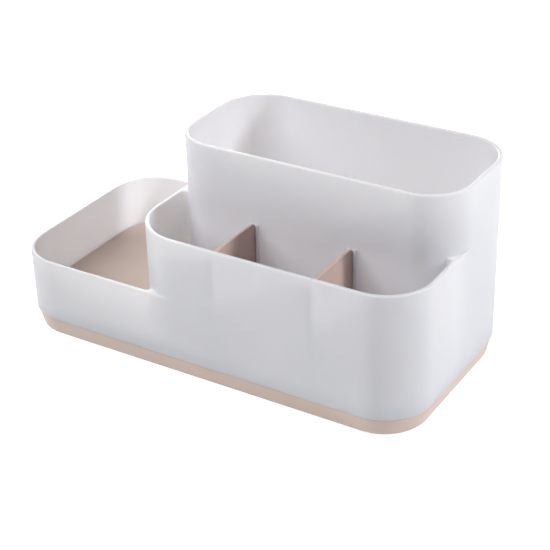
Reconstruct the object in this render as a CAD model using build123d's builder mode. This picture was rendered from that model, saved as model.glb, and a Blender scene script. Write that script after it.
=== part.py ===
from build123d import *
import os
from math import sqrt

os.makedirs("parts", exist_ok=True)

# A stepped desk organiser: a white shell of upright walls on a beige base with a raised floor.
# Millimetres. X runs to the right, Y to the back and Z up from the table.

# Outline of the box, and the shell's walls
box_width = 250.0
box_depth = 125.0
box_corner = 27.5
wall = 2.4
rim_round = 0.8
seam_round = 0.5
crease_round = 2.5
crease_lap = 0.05

# Heights above the table
foot_stand = 0.8
seam_height = 11.0
floor_height = 17.3
low_rim = 47.5
middle_rim = 83.0
tall_rim = 118.0

# The open tray at the left takes a share of the width, and the front bin a share of the depth.
# The tall bin behind takes the rest.
tray_share = 0.3252
front_bin_share = 0.3528
front_bin_corner = 30.0
tall_bin_corner = 24.6

# The two dividers of the front bin, and the shares of its room that lie to the left of each
left_cell_share = 0.3167
middle_cell_share = 0.3574
divider_thickness = 1.5
divider_drop = 3.0
divider_corner = 3.0
divider_edge_round = 0.4

# Guide ribs that hold the dividers upright
guide_width = 1.6
guide_depth = 1.2
guide_drop = 1.0

# The base, with its stiffening ribs underneath
band_inset = 0.6
band_taper = 2.2
band_round = 0.6
floor_thickness = 2.4
floor_edge_round = 0.8
stiffener_thickness = 1.6
stiffener_lift = 1.5
stiffener_columns = 10
stiffener_rows = 4
boss_diameter = 16.0

# The foot pads
foot_diameter = 12.0
foot_thickness = 2.0
foot_inset = 24.0
foot_edge_round = 0.4

# Clearances, and how far a cut runs past the face it opens
shell_fit_gap = 0.3
floor_gap = 0.3
divider_gap = 0.3
foot_pocket_gap = 0.2
overrun = 1.0

# Places worked out from the sizes above
right_side = box_width / 2
left_side = -right_side
back_side = box_depth / 2
front_side = -back_side
bins_left = left_side + box_width * tray_share
tall_front = front_side + box_depth * front_bin_share
walls_bottom = floor_height + floor_gap
divider_top = middle_rim - divider_drop
cell_room = right_side - bins_left - 2 * wall - 2 * divider_thickness
first_divider = bins_left + wall + cell_room * left_cell_share
second_divider = first_divider + divider_thickness + cell_room * middle_cell_share


# A closed ring of wall, drawn counter-clockwise by the corners of its outer face
def closed_wall(corners, radii, bottom, top):
    with BuildPart() as ring:
        with BuildSketch(Plane.XY.offset(bottom)):
            with BuildLine():
                FilletPolyline(*corners, radius=radii, close=True)
            make_face()
            offset(amount=-wall, mode=Mode.SUBTRACT)
        extrude(amount=top - bottom)
    return ring


# A run of wall with two free ends, drawn counter-clockwise by its outer face, with a rounded rim
def open_wall(corners, radii, top):
    with BuildPart() as run:
        with BuildSketch(Plane.XY.offset(walls_bottom)):
            with BuildLine():
                FilletPolyline(*corners, radius=radii)
                offset(amount=wall, side=Side.LEFT)
            make_face()
        extrude(amount=top - walls_bottom)
        rim_edges = run.faces().sort_by(Axis.Z)[-1].edges().sort_by(SortBy.LENGTH)[2:]
        fillet(rim_edges, rim_round)
    return run


# Rounded filling of the narrow crease where a straight wall runs up to a bin's round corner, with
# its roots in the middle of both walls. Points are measured from the centre of that corner, along
# the wall and towards it.
def crease_filling(centre, along, towards_wall, corner, rim):
    def place(distance, height):
        return Vector(*centre) + Vector(*along) * distance + Vector(*towards_wall) * height

    wall_line = corner - wall
    root_line = corner - wall / 2
    crease_reach = sqrt(corner**2 - wall_line**2)
    root_reach = sqrt(corner**2 - root_line**2)
    root_share = root_line / corner
    round_line = wall_line - crease_round + crease_lap
    round_span = corner + crease_round - crease_lap
    round_reach = sqrt(round_span**2 - round_line**2)
    round_share = root_line / round_span
    outline = [
        place(round_reach, round_line),
        place(round_reach, root_line),
        place(root_reach / 2, root_line),
        place(crease_reach * root_share, wall_line * root_share),
        place(round_reach * round_share, round_line * round_share),
    ]
    with BuildPart() as filling:
        with BuildSketch(Plane.XY.offset(walls_bottom)):
            with BuildLine():
                Polyline(*outline, close=True)
            make_face()
            with Locations(outline[0]):
                Circle(crease_round, mode=Mode.SUBTRACT)
        extrude(amount=rim - walls_bottom)
        fillet(filling.edges().filter_by(GeomType.CIRCLE).sort_by(Axis.Z)[-1], rim_round)
    return filling


# Shell: the walls of the tall bin, the front bin and the tray, on a skirt that reaches the seam
tall_wall_corners = [
    (bins_left, tall_front),
    (right_side, tall_front),
    (right_side, back_side),
    (bins_left, back_side),
]
tall_wall_radii = [tall_bin_corner, tall_bin_corner, box_corner, box_corner]
tall_wall = closed_wall(tall_wall_corners, tall_wall_radii, walls_bottom, tall_rim)

front_wall_corners = [
    (bins_left, tall_front + tall_bin_corner),
    (bins_left, front_side),
    (right_side, front_side),
    (right_side, tall_front + tall_bin_corner),
]
front_wall = open_wall(front_wall_corners, [front_bin_corner, box_corner], middle_rim)

tray_wall_corners = [
    (bins_left + box_corner, back_side),
    (left_side, back_side),
    (left_side, front_side),
    (bins_left + front_bin_corner, front_side),
]
tray_wall = open_wall(tray_wall_corners, [box_corner, box_corner], low_rim)

skirt_corners = [
    (left_side, front_side),
    (right_side, front_side),
    (right_side, back_side),
    (left_side, back_side),
]
skirt = closed_wall(skirt_corners, [box_corner] * 4, seam_height, walls_bottom)
with skirt:
    fillet(skirt.faces().sort_by(Axis.Z)[0].outer_wire().edges(), seam_round)

front_corner = (bins_left + front_bin_corner, front_side + front_bin_corner)
back_corner = (bins_left + box_corner, back_side - box_corner)
tall_left_corner = (bins_left + tall_bin_corner, tall_front + tall_bin_corner)
tall_right_corner = (right_side - tall_bin_corner, tall_front + tall_bin_corner)
creases = [
    crease_filling(front_corner, (-1, 0), (0, -1), front_bin_corner, low_rim),
    crease_filling(back_corner, (-1, 0), (0, 1), box_corner, low_rim),
    crease_filling(tall_left_corner, (0, -1), (-1, 0), tall_bin_corner, middle_rim),
    crease_filling(tall_right_corner, (0, -1), (1, 0), tall_bin_corner, middle_rim),
]

# Guide ribs stand in pairs on the two walls that a divider reaches, with their roots in the wall
guide_length = wall / 2 + guide_depth
guide_height = divider_top - guide_drop - walls_bottom
guide_step = divider_thickness / 2 + divider_gap + guide_width / 2
front_guide = front_side + wall + guide_depth - guide_length / 2
tall_guide = tall_front - guide_depth + guide_length / 2
guide_places = [
    (divider + divider_thickness / 2 + side * guide_step, guide)
    for divider in (first_divider, second_divider)
    for guide in (front_guide, tall_guide)
    for side in (-1, 1)
]

with BuildPart() as shell:
    add(tall_wall.part)
    fillet(shell.faces().sort_by(Axis.Z)[-1].edges(), rim_round)
    add(front_wall.part)
    add(tray_wall.part)
    add(skirt.part)
    add([crease.part for crease in creases])
    with BuildSketch(Plane.XY.offset(walls_bottom)):
        with Locations(*guide_places):
            Rectangle(guide_width, guide_length)
    extrude(amount=guide_height)
shell.part.label = "shell"
export_step(shell.part, "parts/shell.step")

# Base: the band that tapers down from the seam, the raised floor that plugs into the shell, and
# a ribbed hollow below
floor_inset = wall + shell_fit_gap
hollow_inset = floor_inset + floor_thickness
hollow_top = floor_height - floor_thickness
hollow_width = box_width - 2 * hollow_inset
hollow_depth = box_depth - 2 * hollow_inset
column_step = hollow_width / (stiffener_columns + 1)
row_step = hollow_depth / (stiffener_rows + 1)
foot_places = GridLocations(box_width - 2 * foot_inset, box_depth - 2 * foot_inset, 2, 2)


def inset_outline(inset):
    RectangleRounded(box_width - 2 * inset, box_depth - 2 * inset, box_corner - inset)


with BuildPart() as base:
    with BuildSketch(Plane.XY.offset(foot_stand)):
        inset_outline(band_inset + band_taper)
    with BuildSketch(Plane.XY.offset(seam_height)):
        inset_outline(band_inset)
    loft(ruled=True)
    fillet(base.faces().sort_by(Axis.Z)[0].edges(), band_round)
    fillet(base.faces().sort_by(Axis.Z)[-1].edges(), seam_round)
    with BuildSketch(Plane.XY.offset(seam_height)):
        inset_outline(floor_inset)
    extrude(amount=floor_height - seam_height)
    fillet(base.faces().sort_by(Axis.Z)[-1].edges(), floor_edge_round)
    with BuildSketch(Plane.XY.offset(foot_stand - overrun)):
        inset_outline(hollow_inset)
    extrude(amount=hollow_top - foot_stand + overrun, mode=Mode.SUBTRACT)
    with BuildSketch(Plane.XY.offset(foot_stand + stiffener_lift)):
        with GridLocations(column_step, row_step, stiffener_columns, 1):
            Rectangle(stiffener_thickness, box_depth)
        with GridLocations(column_step, row_step, 1, stiffener_rows):
            Rectangle(box_width, stiffener_thickness)
        RectangleRounded(
            hollow_width + floor_thickness,
            hollow_depth + floor_thickness,
            box_corner - hollow_inset + floor_thickness / 2,
            mode=Mode.INTERSECT,
        )
    extrude(amount=hollow_top - foot_stand - stiffener_lift + floor_thickness / 2)
    with BuildSketch(Plane.XY.offset(foot_stand)):
        with foot_places:
            Circle(boss_diameter / 2)
    extrude(amount=hollow_top - foot_stand + floor_thickness / 2)
    with BuildSketch(Plane.XY.offset(foot_stand - overrun)):
        with foot_places:
            Circle(foot_diameter / 2 + foot_pocket_gap)
    extrude(amount=foot_thickness - foot_stand + overrun, mode=Mode.SUBTRACT)
base.part.label = "base"
export_step(base.part, "parts/base.step")

# Dividers: plates that stand on the floor and slide up between the guide ribs
divider_front = front_side + wall + divider_gap
divider_length = tall_front - divider_gap - divider_front
divider_height = divider_top - floor_height

for name, place in (("divider_left", first_divider), ("divider_right", second_divider)):
    with BuildPart() as divider:
        with BuildSketch(Plane.YZ.offset(place)) as plate:
            with Locations((divider_front, floor_height)):
                Rectangle(divider_length, divider_height, align=(Align.MIN, Align.MIN))
            fillet(plate.vertices().group_by(Axis.Y)[-1], divider_corner)
        extrude(amount=divider_thickness)
        fillet(divider.faces().filter_by(Axis.X).edges(), divider_edge_round)
    divider.part.label = name
    export_step(divider.part, f"parts/{name}.step")

# Foot pads: round pads pressed up into the pockets of the bosses
foot_names = ("foot_front_left", "foot_back_left", "foot_front_right", "foot_back_right")
for name, place in zip(foot_names, foot_places.locations):
    with BuildPart() as foot:
        with BuildSketch(Plane(place)):
            Circle(foot_diameter / 2)
        extrude(amount=foot_thickness)
        fillet(foot.edges().group_by(Axis.Z)[0], foot_edge_round)
    foot.part.label = name
    export_step(foot.part, f"parts/{name}.step")
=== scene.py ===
import bpy
import math
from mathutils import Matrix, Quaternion, Vector

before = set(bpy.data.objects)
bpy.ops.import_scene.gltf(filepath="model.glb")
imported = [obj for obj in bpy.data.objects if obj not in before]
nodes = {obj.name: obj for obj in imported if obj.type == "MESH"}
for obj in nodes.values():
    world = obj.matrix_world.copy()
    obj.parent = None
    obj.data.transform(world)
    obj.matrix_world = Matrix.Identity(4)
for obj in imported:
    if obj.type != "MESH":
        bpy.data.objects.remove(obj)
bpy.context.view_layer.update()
scene = bpy.context.scene
scene.view_settings.view_transform = "Standard"
print("frame loaded:", ", ".join(sorted(nodes)))


# small helpers for node trees
def emptyTree(owner):
    owner.use_nodes = True
    owner.node_tree.nodes.clear()
    return owner.node_tree


def addNode(tree, kind, **settings):
    node = tree.nodes.new(kind)
    for name, value in settings.items():
        setattr(node, name, value)
    return node


def feed(tree, source, target):
    tree.links.new(source, target)


# unit vector from the object, angles in degrees, azimuth counted from the x axis
def outward(azimuth, elevation):
    turn = math.radians(azimuth)
    tilt = math.radians(elevation)
    return Vector((
        math.cos(turn) * math.cos(tilt),
        math.sin(turn) * math.cos(tilt),
        math.sin(tilt),
    ))


# moulded surface: broad mottling in the colour, uneven roughness, faint waves and a fine grain
skinPattern = {
    "mottleDetail": 3.0,
    "mottleStart": 0.35,  # noise level where the shade begins
    "mottleFull": 0.75,  # and where it is full
    "unevenScale": 60.0,
    "unevenDetail": 5.0,
    "noiseMiddle": 0.5,
    "waveDetail": 1.0,
    "grainDetail": 2.0,
}
skinInputs = {
    "Tint": "NodeSocketColor",
    "Shade": "NodeSocketColor",
    "Mottle Scale": "NodeSocketFloat",
    "Mean Roughness": "NodeSocketFloat",
    "Roughness Spread": "NodeSocketFloat",
    "Wave Scale": "NodeSocketFloat",
    "Wave Height": "NodeSocketFloat",
    "Grain Scale": "NodeSocketFloat",
    "Grain Height": "NodeSocketFloat",
}
skinOutputs = {
    "Color": "NodeSocketColor",
    "Roughness": "NodeSocketFloat",
    "Height": "NodeSocketFloat",
}


def addNoise(tree, place, detail):
    noise = addNode(tree, "ShaderNodeTexNoise")
    noise.inputs["Detail"].default_value = detail
    feed(tree, place, noise.inputs["Vector"])
    return noise


def buildMouldedSkin(pattern):
    group = bpy.data.node_groups.new("mouldedSkin", "ShaderNodeTree")
    face = group.interface
    for name, kind in skinInputs.items():
        face.new_socket(name=name, in_out="INPUT", socket_type=kind)
    for name, kind in skinOutputs.items():
        face.new_socket(name=name, in_out="OUTPUT", socket_type=kind)
    inside = addNode(group, "NodeGroupInput")
    outside = addNode(group, "NodeGroupOutput")
    place = addNode(group, "ShaderNodeTexCoord").outputs["Object"]

    # colour drifts from tint to shade in soft patches
    mottle = addNoise(group, place, pattern["mottleDetail"])
    feed(group, inside.outputs["Mottle Scale"], mottle.inputs["Scale"])
    patches = addNode(group, "ShaderNodeMapRange", interpolation_type="SMOOTHSTEP")
    patches.inputs["From Min"].default_value = pattern["mottleStart"]
    patches.inputs["From Max"].default_value = pattern["mottleFull"]
    feed(group, mottle.outputs["Fac"], patches.inputs["Value"])
    tone = addNode(group, "ShaderNodeMix", data_type="RGBA")
    feed(group, patches.outputs["Result"], tone.inputs["Factor"])
    feed(group, inside.outputs["Tint"], tone.inputs[6])  # colour sockets, which share names with others
    feed(group, inside.outputs["Shade"], tone.inputs[7])
    feed(group, tone.outputs[2], outside.inputs["Color"])

    # roughness varies about its mean
    uneven = addNoise(group, place, pattern["unevenDetail"])
    uneven.inputs["Scale"].default_value = pattern["unevenScale"]
    centred = addNode(group, "ShaderNodeMath", operation="SUBTRACT")
    centred.inputs[1].default_value = pattern["noiseMiddle"]
    feed(group, uneven.outputs["Fac"], centred.inputs[0])
    roughness = addNode(group, "ShaderNodeMath", operation="MULTIPLY_ADD")
    feed(group, centred.outputs[0], roughness.inputs[0])
    feed(group, inside.outputs["Roughness Spread"], roughness.inputs[1])
    feed(group, inside.outputs["Mean Roughness"], roughness.inputs[2])
    feed(group, roughness.outputs[0], outside.inputs["Roughness"])

    # height is the waves plus the grain
    wave = addNoise(group, place, pattern["waveDetail"])
    feed(group, inside.outputs["Wave Scale"], wave.inputs["Scale"])
    grain = addNoise(group, place, pattern["grainDetail"])
    feed(group, inside.outputs["Grain Scale"], grain.inputs["Scale"])
    waveHeight = addNode(group, "ShaderNodeMath", operation="MULTIPLY")
    feed(group, wave.outputs["Fac"], waveHeight.inputs[0])
    feed(group, inside.outputs["Wave Height"], waveHeight.inputs[1])
    height = addNode(group, "ShaderNodeMath", operation="MULTIPLY_ADD")
    feed(group, grain.outputs["Fac"], height.inputs[0])
    feed(group, inside.outputs["Grain Height"], height.inputs[1])
    feed(group, waveHeight.outputs[0], height.inputs[2])
    feed(group, height.outputs[0], outside.inputs["Height"])
    return group


mouldedSkin = buildMouldedSkin(skinPattern)


def mouldedFinish(name, finish):
    material = bpy.data.materials.new(name)
    tree = emptyTree(material)
    shader = addNode(tree, "ShaderNodeBsdfPrincipled")
    output = addNode(tree, "ShaderNodeOutputMaterial")
    feed(tree, shader.outputs["BSDF"], output.inputs["Surface"])
    skin = addNode(tree, "ShaderNodeGroup", node_tree=mouldedSkin)
    for socket, value in finish["skin"].items():
        skin.inputs[socket].default_value = value
    feed(tree, skin.outputs["Color"], shader.inputs["Base Color"])
    feed(tree, skin.outputs["Roughness"], shader.inputs["Roughness"])
    bump = addNode(tree, "ShaderNodeBump")
    bump.inputs["Distance"].default_value = finish["bumpDistance"]
    bump.inputs["Strength"].default_value = finish["bumpStrength"]
    feed(tree, skin.outputs["Height"], bump.inputs["Height"])
    feed(tree, bump.outputs["Normal"], shader.inputs["Normal"])
    shader.inputs["IOR"].default_value = finish["ior"]
    shader.inputs["Subsurface Weight"].default_value = finish["depth"]
    shader.inputs["Subsurface Radius"].default_value = finish["depthSpread"]
    shader.inputs["Subsurface Scale"].default_value = finish["depthReach"]
    return material


def dress(node, material):
    mesh = nodes[node].data
    mesh.materials.clear()
    mesh.materials.append(material)


# shell: white moulding with a soft gloss, which lets some light through its walls
whiteShell = {
    "skin": {
        "Tint": (0.915, 0.91, 0.968, 1),
        "Shade": (0.90, 0.895, 0.954, 1),
        "Mottle Scale": 14.0,
        "Mean Roughness": 0.42,
        "Roughness Spread": 0.08,
        "Wave Scale": 28.0,
        "Wave Height": 1.0,
        "Grain Scale": 1400.0,
        "Grain Height": 0.02,
    },
    "bumpDistance": 0.0004,
    "bumpStrength": 0.35,
    "ior": 1.49,
    "depth": 1.0,
    "depthSpread": (1.0, 0.9, 0.8),
    "depthReach": 0.007,
}
dress("shell", mouldedFinish("glossWhitePlastic", whiteShell))
print("shell dressed")

# base: satin beige moulding
beigeBase = {
    "skin": {
        "Tint": (0.75, 0.613, 0.53, 1),
        "Shade": (0.712, 0.576, 0.492, 1),
        "Mottle Scale": 20.0,
        "Mean Roughness": 0.42,
        "Roughness Spread": 0.10,
        "Wave Scale": 40.0,
        "Wave Height": 0.6,
        "Grain Scale": 2200.0,
        "Grain Height": 0.2,
    },
    "bumpDistance": 0.0003,
    "bumpStrength": 0.35,
    "ior": 1.49,
    "depth": 0.3,
    "depthSpread": (1.0, 0.85, 0.75),
    "depthReach": 0.001,
}
dress("base", mouldedFinish("satinBeigePlastic", beigeBase))
print("base dressed")

# dividers: the same plastic in a deeper beige
deepDividers = {
    "skin": {
        "Tint": (0.64, 0.48, 0.41, 1),
        "Shade": (0.605, 0.45, 0.38, 1),
        "Mottle Scale": 20.0,
        "Mean Roughness": 0.42,
        "Roughness Spread": 0.10,
        "Wave Scale": 40.0,
        "Wave Height": 0.6,
        "Grain Scale": 2200.0,
        "Grain Height": 0.2,
    },
    "bumpDistance": 0.0003,
    "bumpStrength": 0.35,
    "ior": 1.49,
    "depth": 0.3,
    "depthSpread": (1.0, 0.85, 0.75),
    "depthReach": 0.001,
}
dividerPlastic = mouldedFinish("deepBeigePlastic", deepDividers)
for name in ("divider_left", "divider_right"):
    dress(name, dividerPlastic)
print("dividers dressed")

# foot pads: grey rubber
rubberPads = {
    "skin": {
        "Tint": (0.30, 0.29, 0.28, 1),
        "Shade": (0.24, 0.23, 0.22, 1),
        "Mottle Scale": 90.0,
        "Mean Roughness": 0.75,
        "Roughness Spread": 0.15,
        "Wave Scale": 150.0,
        "Wave Height": 0.3,
        "Grain Scale": 3000.0,
        "Grain Height": 0.5,
    },
    "bumpDistance": 0.0002,
    "bumpStrength": 0.4,
    "ior": 1.45,
    "depth": 0.0,
    "depthSpread": (1.0, 1.0, 1.0),
    "depthReach": 0.001,
}
padRubber = mouldedFinish("padRubber", rubberPads)
for name in ("foot_front_left", "foot_front_right", "foot_back_left", "foot_back_right"):
    dress(name, padRubber)
print("foot pads dressed")

# camera at the viewing angle of the photograph
photoCamera = {
    "azimuth": -57.7855,
    "elevation": 29.1436,
    "roll": -1.5252,
    "distance": 0.79611,
    "aim": (0.012993, -0.003353, 0.041183),
    "lens": 94.597,  # millimetres, as the sensor
    "sensor": 36.0,
    "nearest": 0.01,
    "farthest": 20.0,
}


def makeCamera(setting):
    away = outward(setting["azimuth"], setting["elevation"])
    data = bpy.data.cameras.new("photoCamera")
    data.sensor_width = setting["sensor"]
    data.lens = setting["lens"]
    data.clip_start = setting["nearest"]
    data.clip_end = setting["farthest"]
    camera = bpy.data.objects.new("photoCamera", data)
    camera.rotation_mode = "QUATERNION"
    camera.location = Vector(setting["aim"]) + away * setting["distance"]
    roll = Quaternion((0, 0, 1), math.radians(setting["roll"]))
    camera.rotation_quaternion = (-away).to_track_quat("-Z", "Y") @ roll
    scene.collection.objects.link(camera)
    scene.camera = camera


makeCamera(photoCamera)
print("camera placed")

# stage: a wide pale floor just under the feet, in a white surround
stageLook = {
    "floorSize": 12.0,
    "floorHeight": -0.0002,
    "floorTint": (0.85, 0.85, 0.85, 1),
    "floorGlow": 0.85,
    "surroundTint": (1, 1, 1, 1),
    "surroundGlow": 1.0,
    "surroundLight": 0.0,  # the lamps alone light the object
}


# 1 for rays that show the background itself: seen straight, in a gloss or through a clear piece
def seenDirectly(tree):
    path = addNode(tree, "ShaderNodeLightPath")
    straight = addNode(tree, "ShaderNodeMath", operation="MAXIMUM")
    feed(tree, path.outputs["Is Camera Ray"], straight.inputs[0])
    feed(tree, path.outputs["Is Glossy Ray"], straight.inputs[1])
    either = addNode(tree, "ShaderNodeMath", operation="MAXIMUM")
    feed(tree, straight.outputs[0], either.inputs[0])
    feed(tree, path.outputs["Is Transmission Ray"], either.inputs[1])
    return either.outputs[0]


def makeFloor(look):
    half = look["floorSize"] / 2
    level = look["floorHeight"]
    corners = [(-half, -half, level), (half, -half, level), (half, half, level), (-half, half, level)]
    mesh = bpy.data.meshes.new("paleFloor")
    mesh.from_pydata(corners, [], [(0, 1, 2, 3)])
    floor = bpy.data.objects.new("paleFloor", mesh)
    scene.collection.objects.link(floor)
    material = bpy.data.materials.new("paleFloor")
    tree = emptyTree(material)
    matt = addNode(tree, "ShaderNodeBsdfDiffuse")
    matt.inputs["Color"].default_value = look["floorTint"]
    glow = addNode(tree, "ShaderNodeEmission")
    strength = addNode(tree, "ShaderNodeMath", operation="MULTIPLY")
    strength.inputs[1].default_value = look["floorGlow"]
    feed(tree, seenDirectly(tree), strength.inputs[0])
    feed(tree, strength.outputs[0], glow.inputs["Strength"])
    both = addNode(tree, "ShaderNodeAddShader")
    output = addNode(tree, "ShaderNodeOutputMaterial")
    feed(tree, matt.outputs[0], both.inputs[0])
    feed(tree, glow.outputs[0], both.inputs[1])
    feed(tree, both.outputs[0], output.inputs["Surface"])
    mesh.materials.append(material)


def makeSurround(look):
    world = bpy.data.worlds.new("whiteSurround")
    tree = emptyTree(world)
    mix = addNode(tree, "ShaderNodeMixShader")
    plain = addNode(tree, "ShaderNodeBackground")
    plain.inputs["Strength"].default_value = look["surroundLight"]
    white = addNode(tree, "ShaderNodeBackground")
    white.inputs["Color"].default_value = look["surroundTint"]
    white.inputs["Strength"].default_value = look["surroundGlow"]
    output = addNode(tree, "ShaderNodeOutputWorld")
    feed(tree, seenDirectly(tree), mix.inputs[0])
    feed(tree, plain.outputs[0], mix.inputs[1])
    feed(tree, white.outputs[0], mix.inputs[2])
    feed(tree, mix.outputs[0], output.inputs["Surface"])
    scene.world = world


makeFloor(stageLook)
makeSurround(stageLook)
print("stage set")

# lamps: a small key from the right, and broad boxes behind, at the left and high in front
lamps = {
    "keyRight": {
        "azimuth": 15.5,
        "elevation": 26,
        "size": (0.28, 0.28),
        "watts": 23.5,
        "tint": (0.95, 0.955, 1.0),
    },
    "boxBackLeft": {
        "azimuth": 135,
        "elevation": 8,
        "size": (1.2, 0.5),
        "watts": 26.0,
        "tint": (1, 1, 1),
    },
    "boxLeft": {
        "azimuth": 228,
        "elevation": 42,
        "size": (1.2, 1.2),
        "watts": 17.0,
        "tint": (0.98, 0.98, 1.0),
    },
    "boxFrontHigh": {
        "azimuth": 262,
        "elevation": 50,
        "size": (1.2, 1.2),
        "watts": 11.2,
        "tint": (1, 1, 1),
    },
}
lampDistance = 2.0
lampAim = Vector((0, 0, 0.05))


def makeLamp(name, setting):
    away = outward(setting["azimuth"], setting["elevation"])
    data = bpy.data.lights.new(name, "AREA")
    data.shape = "RECTANGLE"
    data.size, data.size_y = setting["size"]
    data.energy = setting["watts"]
    data.color = setting["tint"]
    lamp = bpy.data.objects.new(name, data)
    lamp.location = lampAim + away * lampDistance
    lamp.rotation_euler = (-away).to_track_quat("-Z", "Y").to_euler()
    scene.collection.objects.link(lamp)


for name, setting in lamps.items():
    makeLamp(name, setting)
print("lamps lit")
